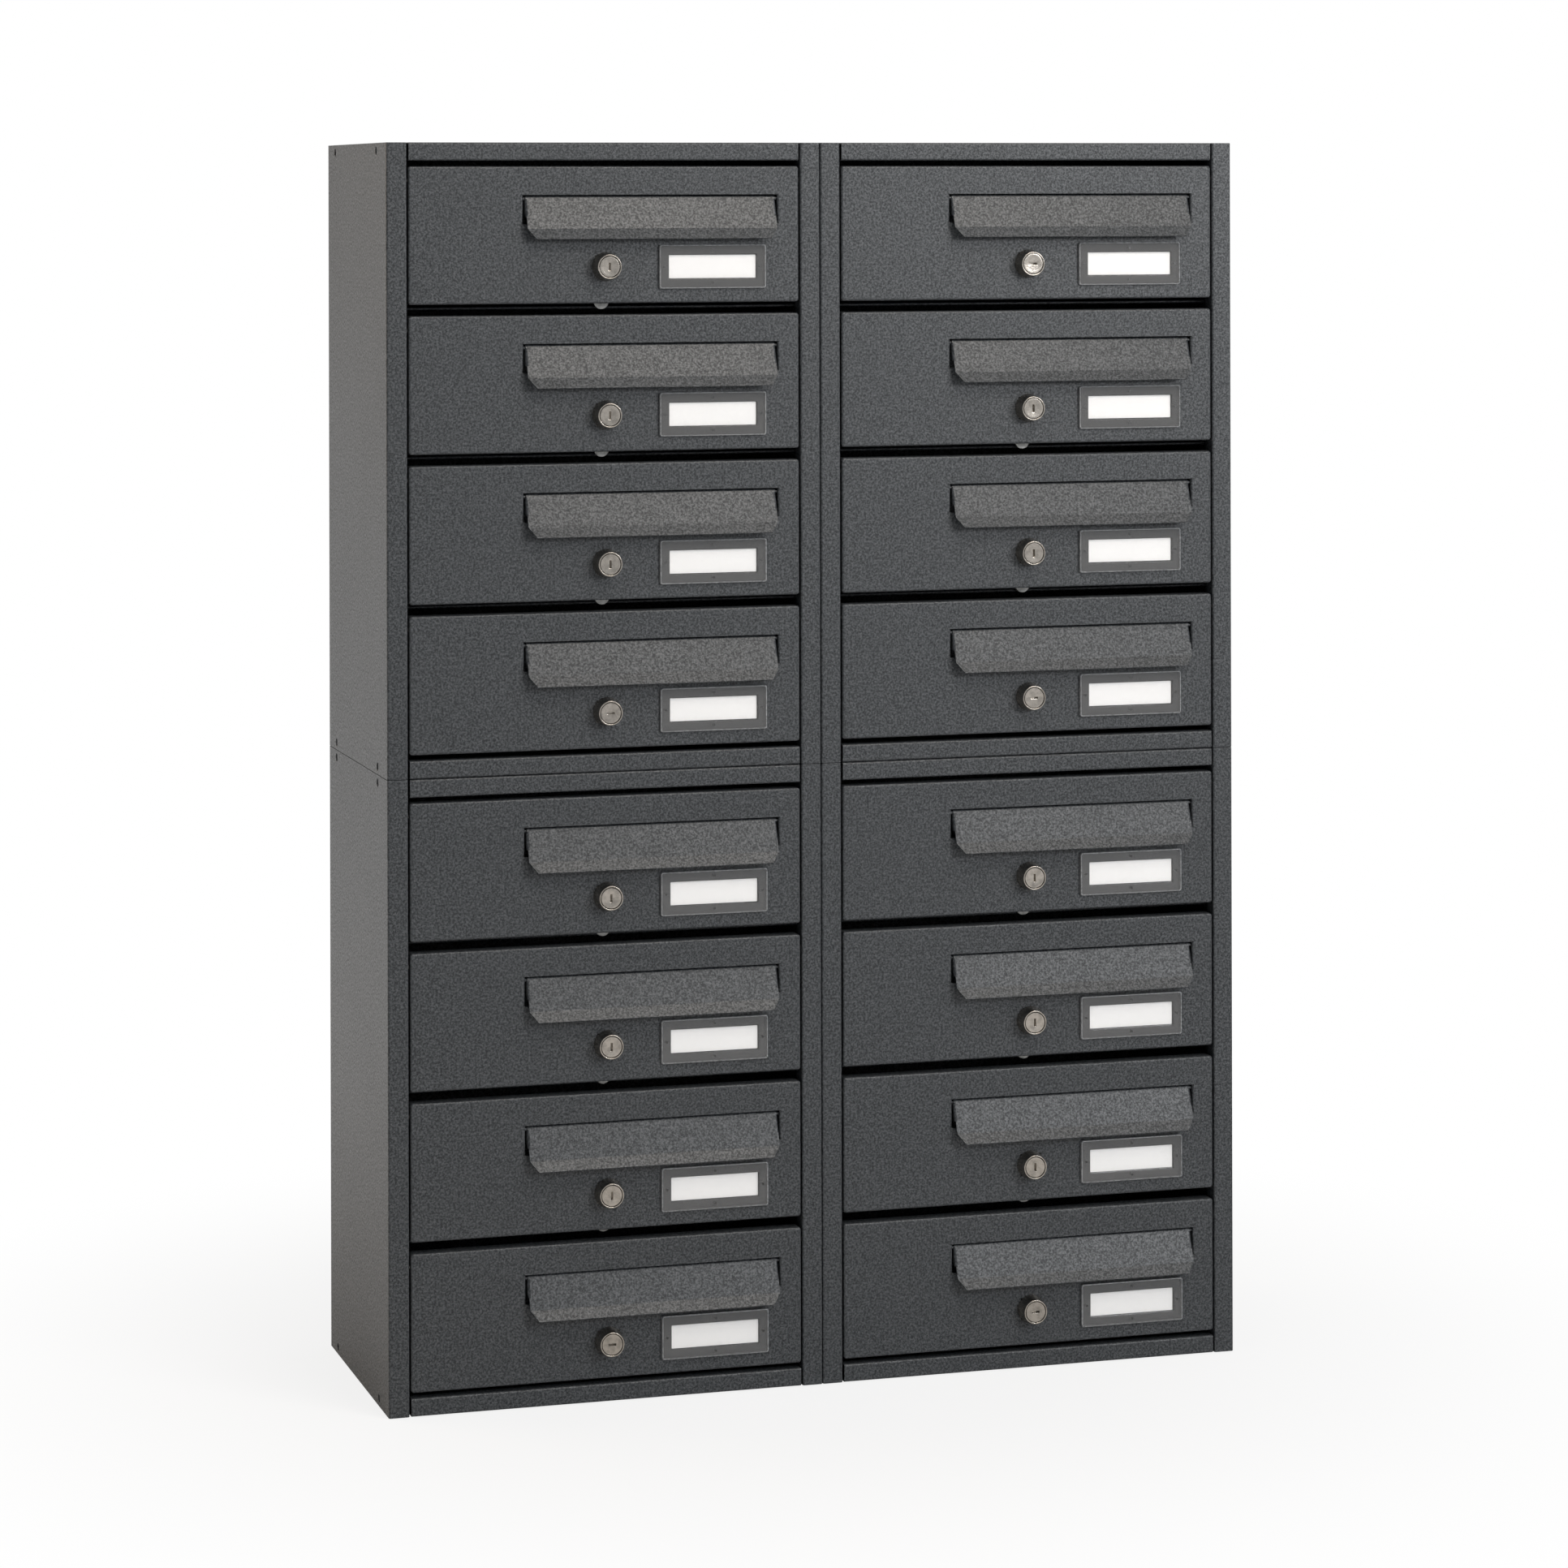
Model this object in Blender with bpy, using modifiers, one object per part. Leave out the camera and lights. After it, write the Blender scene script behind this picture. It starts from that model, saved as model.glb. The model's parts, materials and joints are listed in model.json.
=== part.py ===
"""Cluster mailbox unit: sixteen letter boxes in four folded-steel modules, two wide and two high.

Metres, +Z up, the front faces -Y. The origin is the bottom centre of the unit's box.
Each module is a casing that carries three shelves, closed by a top and a bottom panel. Each box has a
door that hangs on two pins near its top edge. The door carries a slot flap, a cam lock and a name plate.
"""

import math

import bmesh
import bpy
from mathutils import Matrix, Vector

# Layout of the unit
COLUMNS = 2
ROWS = 2
BOXES = 4                  # boxes in one module, stacked
MODULE_GAP = 0.0003        # between neighbouring modules
UNLOCKED = {(row, column, BOXES - 1) for row in range(ROWS) for column in range(COLUMNS)}
UNLOCKED.add((0, 1, 0))    # boxes whose locks are turned a quarter, their cams to the side

# Casing
MODULE_WIDTH = 0.320
MODULE_DEPTH = 0.215
CASING_SHEET = 0.0012
POST_WIDTH = 0.015         # front edge of a side panel, returned towards the doors
POST_RETURN = 0.014        # lip behind the post, drilled for the hinge pins
FOLD_RADIUS = 0.0015       # outside radius of every folded edge of casing, panels and doors
FIT = 0.0003               # clearance between fixed pieces
MOUNT_HOLE = 0.008         # four holes in the back for wall screws
MOUNT_HOLE_IN = 0.045      # from the side and end edges of the back

# Top and bottom panels
PANEL_SHEET = 0.0012
TOP_RAIL = 0.0129
BOTTOM_RAIL = 0.0128
RAIL_SIDE_GAP = 0.0012     # between the rail's ends and the posts
RAIL_RETURN = 0.010        # fold behind the rail's free edge
PANEL_FLANGE = 0.012       # down-turned side and back edges

# Shelves
SHELF_SHEET = 0.001
SHELF_DROP = 0.0021        # top of the shelf below the bottom edge of the door above it
SHELF_BACK = 0.019         # front edge of the shelf behind the front plane
SHELF_HEM = 0.012          # front edge folded back flat under the shelf

# Doors
DOOR_HEIGHT = 0.0981
DOOR_GAP = 0.008           # between one door and the next
TOP_GAP = 0.004            # between the top rail and the first door
BOTTOM_GAP = 0.0039        # between the last door and the bottom rail
DOOR_SIDE_GAP = 0.001
DOOR_SHEET = 0.0012
DOOR_FLANGE = 0.012        # depth of the pan's sides
DOOR_CORNER = 0.0022       # radius of the pan's corners in front view
HINGE_DROP = 0.010         # hinge axis below the door's top edge
HINGE_BACK = 0.006         # hinge axis behind the door's face
HINGE_PIN = 0.003          # diameter
HINGE_PLAY = 0.001         # hole diameter over the pin
HINGE_PIN_PAST = 0.001     # pin end past the lip

# Letter slot and the lugs behind it
SLOT_WIDTH = 0.1886
SLOT_HEIGHT = 0.021
SLOT_DROP = 0.0205         # top of the slot below the door's top edge
SLOT_EDGE = 0.0162         # right end of the slot inside the door's right edge
LUG_DEPTH = 0.0085         # behind the door's face
LUG_HEIGHT = 0.0205
LUG_SHEET = 0.0012

# Slot flap
FLAP_SHEET = 0.001
FLAP_END_GAP = 0.0018      # between the flap and each end of the slot
FLAP_FACE = 0.0235         # length of the main face below the knuckle
FLAP_LIP = 0.0088
FLAP_LIP_CHAMFER = 0.0055  # how much narrower the lip's lower edge is at each end
FLAP_SLOPE = math.radians(20)      # main face from the vertical
FLAP_LIP_SLOPE = math.radians(35)
FLAP_KNUCKLE = 0.0044      # diameter of the rolled top edge
FLAP_TUCK = 0.00025        # outer face of the sheet inside the round of the knuckle
FLAP_PIN = 0.0026
FLAP_PIN_PLAY = 0.001
FLAP_PIVOT_BACK = 0.0034   # behind the door's face
FLAP_TOP_CLEAR = 0.0005    # knuckle below the slot's top edge
EAR_LENGTH = 0.014         # of the end ears along the main face
EAR_BACK = 0.005           # of the ears behind the pivot
EAR_IN = 0.0002            # outer face of an ear inside the end of the sheet

# Lock
LOCK_DROP = 0.0718         # centre below the door's top edge
LOCK_HEAD = 0.021
LOCK_FACE = 0.0175
LOCK_PROUD = 0.011
LOCK_CHAMFER = 0.0006
LOCK_BARREL = 0.0182
LOCK_LENGTH = 0.0132       # of the barrel behind the door's face
LOCK_NUT = 0.025
LOCK_NUT_THICK = 0.003
LOCK_BORE = 0.0156
PLUG = 0.015
PLUG_RECESS = 0.0004       # plug face below the face of the head
KEYWAY_WIDTH = 0.0016
KEYWAY_HEIGHT = 0.0075
KEYWAY_DEPTH = 0.004
CAM_WIDTH = 0.011
CAM_THICK = 0.002
CAM_PLAY = 0.0013          # between the barrel's end and the cam
CAM_BELOW = 0.0046         # reach of the cam below the door's bottom edge
CAM_SCREW = 0.007
CAM_SCREW_HEAD = 0.002

# Name plate
PLATE_WIDTH = 0.0795
PLATE_HEIGHT = 0.0315
PLATE_THICK = 0.0026
PLATE_BEVEL = 0.0016
PLATE_EDGE = 0.0255        # right edge of the plate inside the door's right edge
PLATE_DROP = 0.0722        # centre below the door's top edge

# Facets
TURNED_SIDES = 14
PIN_SIDES = 8
OVERLAP = 0.0005           # how far fused shapes run into each other

# Sizes that follow
MODULE_HEIGHT = (TOP_RAIL + TOP_GAP + BOXES * DOOR_HEIGHT + (BOXES - 1) * DOOR_GAP
                 + BOTTOM_GAP + BOTTOM_RAIL)
OPENING = MODULE_WIDTH - 2 * POST_WIDTH
DOOR_WIDTH = OPENING - 2 * DOOR_SIDE_GAP
DOOR_FACE = -HINGE_BACK                          # in the door's own frame, origin on its hinge axis
DOOR_TOP = HINGE_DROP
DOOR_BOTTOM = HINGE_DROP - DOOR_HEIGHT
SLOT_RIGHT = DOOR_WIDTH / 2 - SLOT_EDGE - SLOT_WIDTH / 2     # centre of the slot
PLATE_RIGHT = DOOR_WIDTH / 2 - PLATE_EDGE - PLATE_WIDTH / 2  # centre of the plate
SLOT_TOP = DOOR_TOP - SLOT_DROP
SLOT_BOTTOM = SLOT_TOP - SLOT_HEIGHT
FLAP_PIVOT = Vector((SLOT_RIGHT, DOOR_FACE + FLAP_PIVOT_BACK,
                     SLOT_TOP - FLAP_TOP_CLEAR - FLAP_KNUCKLE / 2))
FLAP_WIDTH = SLOT_WIDTH - 2 * FLAP_END_GAP
LOCK_AT = Vector((0.0, DOOR_FACE, DOOR_TOP - LOCK_DROP))
CAM_REACH = DOOR_HEIGHT - LOCK_DROP + CAM_BELOW
CAM_BACK = LOCK_LENGTH + CAM_PLAY                # front of the cam behind the door's face


def flap_outline():
    """Middle line of the flap's sheet in (y, z) from its pivot: knuckle, fold, free edge."""
    face = Vector((-math.sin(FLAP_SLOPE), -math.cos(FLAP_SLOPE)))
    lip = Vector((-math.sin(FLAP_LIP_SLOPE), -math.cos(FLAP_LIP_SLOPE)))
    outward = Vector((-math.cos(FLAP_SLOPE), math.sin(FLAP_SLOPE)))
    start = outward * (FLAP_KNUCKLE / 2 - FLAP_SHEET / 2 - FLAP_TUCK)
    fold = start + face * FLAP_FACE
    return start, fold, fold + lip * FLAP_LIP


FLAP_PROUD = (-flap_outline()[2].x - FLAP_PIVOT_BACK
              + FLAP_SHEET / 2 * math.cos(FLAP_LIP_SLOPE))
PROUD = max(LOCK_PROUD, FLAP_PROUD)              # how far the doors' fittings stand out of the front
FRONT = (PROUD - MODULE_DEPTH) / 2
BACK = FRONT + MODULE_DEPTH

COATING = (0.062, 0.068, 0.076, 1.0)
NICKEL = (0.72, 0.70, 0.66, 1.0)


def clear_scene():
    """Remove what the file holds before building."""
    for thing in list(bpy.data.objects):
        bpy.data.objects.remove(thing, do_unlink=True)
    for group in list(bpy.data.collections):
        bpy.data.collections.remove(group)


def new_collection(name):
    """A collection linked to the scene."""
    group = bpy.data.collections.new(name)
    bpy.context.scene.collection.children.link(group)
    return group


def new_material(name, colour, roughness, metallic):
    """A Principled material."""
    material = bpy.data.materials.new(name)
    material.use_nodes = True
    shader = material.node_tree.nodes["Principled BSDF"]
    shader.inputs["Base Color"].default_value = colour
    shader.inputs["Roughness"].default_value = roughness
    shader.inputs["Metallic"].default_value = metallic
    return material


def add_object(name, mesh, group=None):
    """An object that holds a mesh or a curve, in the shapes collection unless one is given."""
    made = bpy.data.objects.new(name, mesh)
    (group or SHAPES).objects.link(made)
    if group is None:
        made.hide_render = True
        made.display_type = "WIRE"
    return made


def from_bmesh(name, shape):
    """A guide object made from a bmesh, which is freed."""
    bmesh.ops.recalc_face_normals(shape, faces=shape.faces)
    mesh = bpy.data.meshes.new(name)
    shape.to_mesh(mesh)
    shape.free()
    return add_object(name, mesh)


def box(name, low, high):
    """A closed box between two corners."""
    low, high = Vector(low), Vector(high)
    shape = bmesh.new()
    bmesh.ops.create_cube(shape, size=1.0)
    bmesh.ops.scale(shape, vec=high - low, verts=shape.verts)
    bmesh.ops.translate(shape, vec=(low + high) / 2, verts=shape.verts)
    return from_bmesh(name, shape)


def rod(name, start, end, diameter, sides):
    """A closed cylinder along X or Y between two points. Its flats are turned to face the axes."""
    start, end = Vector(start), Vector(end)
    along = end - start
    shape = bmesh.new()
    bmesh.ops.create_cone(shape, cap_ends=True, segments=sides, radius1=diameter / 2,
                          radius2=diameter / 2, depth=along.length)
    turn = along.to_track_quat("Z", "Y").to_matrix().to_4x4()
    place = Matrix.Translation((start + end) / 2) @ turn
    bmesh.ops.transform(shape, matrix=place, verts=shape.verts)
    return from_bmesh(name, shape)


def plate(name, outline, start, end):
    """A flat closed outline in (y, z), extruded along X from start to end."""
    shape = bmesh.new()
    corners = [shape.verts.new((start, y, z)) for y, z in outline]
    face = shape.faces.new(corners)
    moved = bmesh.ops.extrude_face_region(shape, geom=[face])
    verts = [v for v in moved["geom"] if isinstance(v, bmesh.types.BMVert)]
    bmesh.ops.translate(shape, vec=(end - start, 0, 0), verts=verts)
    return from_bmesh(name, shape)


def turned(name, profile, sides):
    """A closed (radius, y) profile turned about the Y axis with a Screw modifier."""
    shape = bmesh.new()
    points = [shape.verts.new((radius, y, 0.0)) for radius, y in profile]
    for first, second in zip(points, points[1:] + points[:1]):
        shape.edges.new((first, second))
    mesh = bpy.data.meshes.new(name)
    shape.to_mesh(mesh)
    shape.free()
    made = add_object(name, mesh)
    screw = made.modifiers.new("turn", "SCREW")
    screw.axis = "Y"
    screw.steps = sides
    screw.render_steps = sides
    screw.use_merge_vertices = True
    screw.merge_threshold = 0.00001
    return solid(made)


def solid(made):
    """The evaluated mesh of an object, with faces pointing out, in place of its modifiers."""
    bpy.context.view_layer.update()
    seen = made.evaluated_get(bpy.context.evaluated_depsgraph_get())
    mesh = bpy.data.meshes.new_from_object(seen)
    made.modifiers.clear()
    made.data = mesh
    shape = bmesh.new()
    shape.from_mesh(mesh)
    bmesh.ops.remove_doubles(shape, verts=shape.verts, dist=0.000001)
    bmesh.ops.recalc_face_normals(shape, faces=shape.faces)
    shape.to_mesh(mesh)
    shape.free()
    return made


def combine(made, operation, tools):
    """Join tools that stay clear of each other to an object, or cut them from it."""
    shape = bmesh.new()
    for tool in tools:
        shape.from_mesh(tool.data)
        bpy.data.objects.remove(tool, do_unlink=True)
    together = from_bmesh("tools", shape)
    step = made.modifiers.new("tools", "BOOLEAN")
    step.operation = operation
    step.solver = "EXACT"
    step.object = together
    solid(made)
    bpy.data.objects.remove(together, do_unlink=True)
    return made


def fold_edges(made, radius, segments, limit=30):
    """Round the folded edges of an open sheet."""
    bevel = made.modifiers.new("folds", "BEVEL")
    bevel.width = radius
    bevel.segments = segments
    bevel.limit_method = "ANGLE"
    bevel.angle_limit = math.radians(limit)
    bevel.use_clamp_overlap = True


def thicken(made, thickness, offset=-1.0):
    """Give an open sheet its thickness. The surface as drawn is the outer one."""
    sheet = made.modifiers.new("sheet", "SOLIDIFY")
    sheet.thickness = thickness
    sheet.offset = offset
    sheet.use_even_offset = True
    return solid(made)


def swept_sheet(name, outline, start, end, axis):
    """An open sheet: an outline in the plane across the axis (0 is X, 2 is Z), swept along it."""
    shape = bmesh.new()
    if axis == 2:
        line = [shape.verts.new((a, b, start)) for a, b in outline]
    else:
        line = [shape.verts.new((start, a, b)) for a, b in outline]
    edges = [shape.edges.new(pair) for pair in zip(line, line[1:])]
    moved = bmesh.ops.extrude_edge_only(shape, edges=edges)
    verts = [v for v in moved["geom"] if isinstance(v, bmesh.types.BMVert)]
    way = Vector((0, 0, 0))
    way[axis] = end - start
    bmesh.ops.translate(shape, vec=way, verts=verts)
    mesh = bpy.data.meshes.new(name)
    shape.to_mesh(mesh)
    shape.free()
    return add_object(name, mesh)


def row_door_top(box_row):
    """Height of a door's top edge above the module's floor, box 0 at the top."""
    return MODULE_HEIGHT - TOP_RAIL - TOP_GAP - box_row * (DOOR_HEIGHT + DOOR_GAP)


def casing_mesh():
    """Back, sides, posts and hinge lips as one folded sheet, with the shelves it carries."""
    half = MODULE_WIDTH / 2
    inner = OPENING / 2
    lip_end = FRONT + POST_RETURN
    left = [(-inner, lip_end), (-inner, FRONT), (-half, FRONT), (-half, BACK)]
    right = [(-x, y) for x, y in reversed(left)]
    made = swept_sheet("casing_shape", left + right, 0.0, MODULE_HEIGHT, axis=2)
    fold_edges(made, FOLD_RADIUS, 2)
    thicken(made, CASING_SHEET)
    combine(made, "UNION", [shelf(row) for row in range(1, BOXES)])
    return combine(made, "DIFFERENCE", hinge_holes() + mount_holes()).data


def shelf(row):
    """One shelf with its front edge hemmed to twice the sheet, run into the casing's walls."""
    reach = MODULE_WIDTH / 2 - CASING_SHEET + OVERLAP
    top = row_door_top(row - 1) - DOOR_HEIGHT - SHELF_DROP
    front = FRONT + SHELF_BACK
    rear = BACK - CASING_SHEET + OVERLAP
    under = top - SHELF_SHEET
    outline = [(front, top), (rear, top), (rear, under), (front + SHELF_HEM, under),
               (front + SHELF_HEM, under - SHELF_SHEET), (front, under - SHELF_SHEET)]
    return plate(f"shelf_{row}", outline, -reach, reach)


def hinge_holes():
    """One round hole through each post lip for each door."""
    holes = []
    wall = OPENING / 2 + CASING_SHEET / 2
    for row in range(BOXES):
        height = row_door_top(row) - HINGE_DROP
        for side in (-1, 1):
            start = (side * wall - CASING_SHEET, FRONT + HINGE_BACK, height)
            end = (side * wall + CASING_SHEET, FRONT + HINGE_BACK, height)
            name = f"hinge_hole_{row}_{side}"
            holes.append(rod(name, start, end, HINGE_PIN + HINGE_PLAY, PIN_SIDES))
    return holes


def mount_holes():
    """Screw holes near the corners of the back."""
    holes = []
    for side in (-1, 1):
        for height in (MOUNT_HOLE_IN, MODULE_HEIGHT - MOUNT_HOLE_IN):
            across = side * (MODULE_WIDTH / 2 - MOUNT_HOLE_IN)
            start = (across, BACK - 2 * CASING_SHEET, height)
            end = (across, BACK + CASING_SHEET, height)
            holes.append(rod(f"mount_hole_{side}_{height:.3f}", start, end, MOUNT_HOLE, PIN_SIDES))
    return holes


def panel_mesh(rail):
    """Bottom panel on z = 0: a floor between the walls, a rail between the posts, turned edges."""
    wide = MODULE_WIDTH / 2 - CASING_SHEET - FIT
    narrow = OPENING / 2 - RAIL_SIDE_GAP
    step = FRONT + POST_RETURN + FIT
    rear = BACK - CASING_SHEET - FIT
    outline = [(narrow, FRONT), (narrow, step), (wide, step), (wide, rear),
               (-wide, rear), (-wide, step), (-narrow, step), (-narrow, FRONT)]
    shape = bmesh.new()
    corners = [shape.verts.new((x, y, 0.0)) for x, y in outline]
    shape.faces.new(corners)
    flanges = [shape.edges.get((corners[i], corners[i + 1])) for i in (2, 3, 4)]
    raise_edges(shape, flanges, (0, 0, PANEL_FLANGE))
    front = shape.edges.get((corners[7], corners[0]))
    top = raise_edges(shape, [front], (0, 0, rail))
    raise_edges(shape, top, (0, RAIL_RETURN, 0))
    bmesh.ops.recalc_face_normals(shape, faces=shape.faces)
    mesh = bpy.data.meshes.new("panel_shape")
    shape.to_mesh(mesh)
    shape.free()
    made = add_object("panel_shape", mesh)
    fold_edges(made, FOLD_RADIUS, 2)
    return thicken(made, PANEL_SHEET).data


def raise_edges(shape, edges, way):
    """Extrude open edges of a sheet and return the new free edges."""
    moved = bmesh.ops.extrude_edge_only(shape, edges=edges)
    verts = [v for v in moved["geom"] if isinstance(v, bmesh.types.BMVert)]
    bmesh.ops.translate(shape, vec=way, verts=verts)
    return [e for e in moved["geom"] if isinstance(e, bmesh.types.BMEdge)
            and e.verts[0] in verts and e.verts[1] in verts]


def door_pan():
    """The door's pan: a box open at the back, its front edges and corners rounded."""
    half = DOOR_WIDTH / 2
    shape = bmesh.new()
    bmesh.ops.create_cube(shape, size=1.0)
    bmesh.ops.scale(shape, vec=(DOOR_WIDTH, DOOR_FLANGE, DOOR_HEIGHT), verts=shape.verts)
    centre = (0, DOOR_FACE + DOOR_FLANGE / 2, DOOR_TOP - DOOR_HEIGHT / 2)
    bmesh.ops.translate(shape, vec=centre, verts=shape.verts)
    rear = [f for f in shape.faces if f.normal.y > 0.5]
    bmesh.ops.delete(shape, geom=rear, context="FACES")
    corners = [e for e in shape.edges if abs((e.verts[0].co - e.verts[1].co).y) > DOOR_FLANGE / 2]
    bmesh.ops.bevel(shape, geom=corners, offset=DOOR_CORNER, segments=1, profile=0.5,
                    affect="EDGES")
    mesh = bpy.data.meshes.new("door_pan")
    shape.to_mesh(mesh)
    shape.free()
    made = add_object("door_pan", mesh)
    fold_edges(made, FOLD_RADIUS, 2, limit=60)
    return thicken(made, DOOR_SHEET)


def slot_lugs():
    """The two tabs behind the slot's ends, each drilled for a flap pin."""
    lugs = []
    front = DOOR_FACE + DOOR_SHEET - OVERLAP
    rear = DOOR_FACE + LUG_DEPTH
    top = SLOT_TOP
    for side in (-1, 1):
        inner = SLOT_RIGHT + side * SLOT_WIDTH / 2
        outer = inner + side * LUG_SHEET
        low = (min(inner, outer), front, top - LUG_HEIGHT)
        high = (max(inner, outer), rear, top)
        lug = box(f"lug_{side}", low, high)
        start = (inner - side * LUG_SHEET, FLAP_PIVOT.y, FLAP_PIVOT.z)
        end = (outer + side * LUG_SHEET, FLAP_PIVOT.y, FLAP_PIVOT.z)
        hole = rod(f"lug_hole_{side}", start, end, FLAP_PIN + FLAP_PIN_PLAY, PIN_SIDES)
        lugs.append(combine(lug, "DIFFERENCE", [hole]))
    return lugs


def lock_housing():
    """Head, nut and barrel of the lock, turned about its own axis and moved to its place."""
    sheet_middle = DOOR_SHEET / 2
    nut_end = DOOR_SHEET + LOCK_NUT_THICK
    profile = [
        (LOCK_FACE / 2, -LOCK_PROUD),
        (LOCK_FACE / 2 + LOCK_CHAMFER, -LOCK_PROUD + LOCK_CHAMFER),
        (LOCK_HEAD / 2, sheet_middle),
        (LOCK_NUT / 2, sheet_middle),
        (LOCK_NUT / 2, nut_end),
        (LOCK_BARREL / 2, nut_end),
        (LOCK_BARREL / 2, LOCK_LENGTH),
        (LOCK_BORE / 2, LOCK_LENGTH),
        (LOCK_BORE / 2, -LOCK_PROUD),
    ]
    made = turned("lock_housing", profile, TURNED_SIDES)
    made.data.transform(Matrix.Translation(LOCK_AT))
    return made


def name_plate():
    """The name plate's cover, bevelled round its front and run into the door's face."""
    across, up = PLATE_WIDTH / 2, PLATE_HEIGHT / 2
    middle = Vector((PLATE_RIGHT, 0, DOOR_TOP - PLATE_DROP))
    low = middle + Vector((-across, DOOR_FACE - PLATE_THICK, -up))
    high = middle + Vector((across, DOOR_FACE + OVERLAP, up))
    made = box("name_plate", low, high)
    shape = bmesh.new()
    shape.from_mesh(made.data)
    front = [e for e in shape.edges if all(v.co.y < DOOR_FACE for v in e.verts)]
    bmesh.ops.bevel(shape, geom=front, offset=PLATE_BEVEL, segments=1, profile=0.5,
                    affect="EDGES")
    shape.to_mesh(made.data)
    shape.free()
    return made


def hinge_pins():
    """The two pins that the door hangs on."""
    inner = DOOR_WIDTH / 2 - DOOR_SHEET + OVERLAP
    outer = OPENING / 2 + CASING_SHEET + HINGE_PIN_PAST
    return [rod(f"hinge_pin_{side}", (side * inner, 0, 0), (side * outer, 0, 0), HINGE_PIN,
                PIN_SIDES) for side in (-1, 1)]


def door_mesh():
    """A door with what is fixed to it, in a frame with its origin on the hinge axis."""
    made = door_pan()
    left = SLOT_RIGHT - SLOT_WIDTH / 2
    slot = box("slot", (left, DOOR_FACE - DOOR_SHEET, SLOT_BOTTOM),
               (left + SLOT_WIDTH, DOOR_FACE + 2 * DOOR_SHEET, SLOT_TOP))
    lock_hole = rod("lock_hole", LOCK_AT - Vector((0, DOOR_SHEET, 0)),
                    LOCK_AT + Vector((0, 2 * DOOR_SHEET, 0)),
                    (LOCK_BORE + LOCK_BARREL) / 2, TURNED_SIDES)
    combine(made, "DIFFERENCE", [slot, lock_hole])
    return combine(made, "UNION", slot_lugs() + [lock_housing(), name_plate()] + hinge_pins()).data


def flap_mesh():
    """A slot flap in a frame with its origin on its own pivot."""
    half = FLAP_WIDTH / 2
    start, fold, free = flap_outline()
    shape = bmesh.new()
    widths = (half, half, half - FLAP_LIP_CHAMFER)
    left = [shape.verts.new((-w, p.x, p.y)) for w, p in zip(widths, (start, fold, free))]
    right = [shape.verts.new((w, p.x, p.y)) for w, p in zip(widths, (start, fold, free))]
    for i in range(2):
        shape.faces.new((left[i], left[i + 1], right[i + 1], right[i]))
    mesh = bpy.data.meshes.new("flap_shape")
    shape.to_mesh(mesh)
    shape.free()
    made = add_object("flap_shape", mesh)
    thicken(made, FLAP_SHEET, offset=0.0)
    rolled = half - FLAP_SHEET / 2
    knuckle = rod("knuckle", (-rolled, 0, 0), (rolled, 0, 0), FLAP_KNUCKLE, PIN_SIDES)
    reach = SLOT_WIDTH / 2 + LUG_SHEET + FLAP_PIN_PLAY
    pin = rod("flap_pin", (-reach, 0, 0), (reach, 0, 0), FLAP_PIN, PIN_SIDES)
    combine(made, "UNION", [knuckle])
    combine(made, "UNION", flap_ears())
    return combine(made, "UNION", [pin]).data


def flap_ears():
    """The flap's ends, folded back towards the slot."""
    start, fold, _ = flap_outline()
    along = (fold - start).normalized()
    low = start + along * EAR_LENGTH
    outline = [tuple(start), tuple(low), (EAR_BACK, low.y / 2), (EAR_BACK, 0.0)]
    outer = FLAP_WIDTH / 2 - EAR_IN
    return [plate(f"ear_{side}", outline, side * outer, side * (outer - FLAP_SHEET))
            for side in (-1, 1)]


def plug_mesh():
    """The lock's plug with its keyway, and the cam that points down from it past the door."""
    rear = CAM_BACK + CAM_THICK
    plug = rod("plug", (0, PLUG_RECESS - LOCK_PROUD, 0), (0, CAM_BACK + OVERLAP, 0), PLUG,
               TURNED_SIDES)
    screw = rod("cam_screw", (0, rear - OVERLAP, 0), (0, rear + CAM_SCREW_HEAD, 0), CAM_SCREW,
                PIN_SIDES)
    cam = cam_blade()
    keyway = box("keyway", (-KEYWAY_WIDTH / 2, -2 * LOCK_PROUD, -KEYWAY_HEIGHT / 2),
                 (KEYWAY_WIDTH / 2, PLUG_RECESS - LOCK_PROUD + KEYWAY_DEPTH, KEYWAY_HEIGHT / 2))
    combine(plug, "UNION", [cam])
    combine(plug, "UNION", [screw])
    return combine(plug, "DIFFERENCE", [keyway]).data


def cam_blade():
    """The cam: a bar with round ends, from the lock's axis down past the door's edge."""
    radius = CAM_WIDTH / 2
    tip = radius - CAM_REACH
    steps = 6
    arc = [math.pi * i / steps for i in range(steps + 1)]
    outline = [(radius * math.cos(a), radius * math.sin(a)) for a in arc]
    outline += [(-radius * math.cos(a), tip - radius * math.sin(a)) for a in arc]
    shape = bmesh.new()
    corners = [shape.verts.new((x, CAM_BACK, z)) for x, z in outline]
    face = shape.faces.new(corners)
    moved = bmesh.ops.extrude_face_region(shape, geom=[face])
    verts = [v for v in moved["geom"] if isinstance(v, bmesh.types.BMVert)]
    bmesh.ops.translate(shape, vec=(0, CAM_THICK, 0), verts=verts)
    return from_bmesh("cam_blade", shape)


def place(name, mesh, material, at, parent=None, turn=None):
    """A named part that shares a mesh, at a place in its parent's frame."""
    made = bpy.data.objects.new(name, mesh)
    PARTS.objects.link(made)
    made.location = at
    if turn is not None:
        made.rotation_euler = turn
    if parent is not None:
        made.parent = parent
    if not mesh.materials:
        mesh.materials.append(material)
    return made


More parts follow.
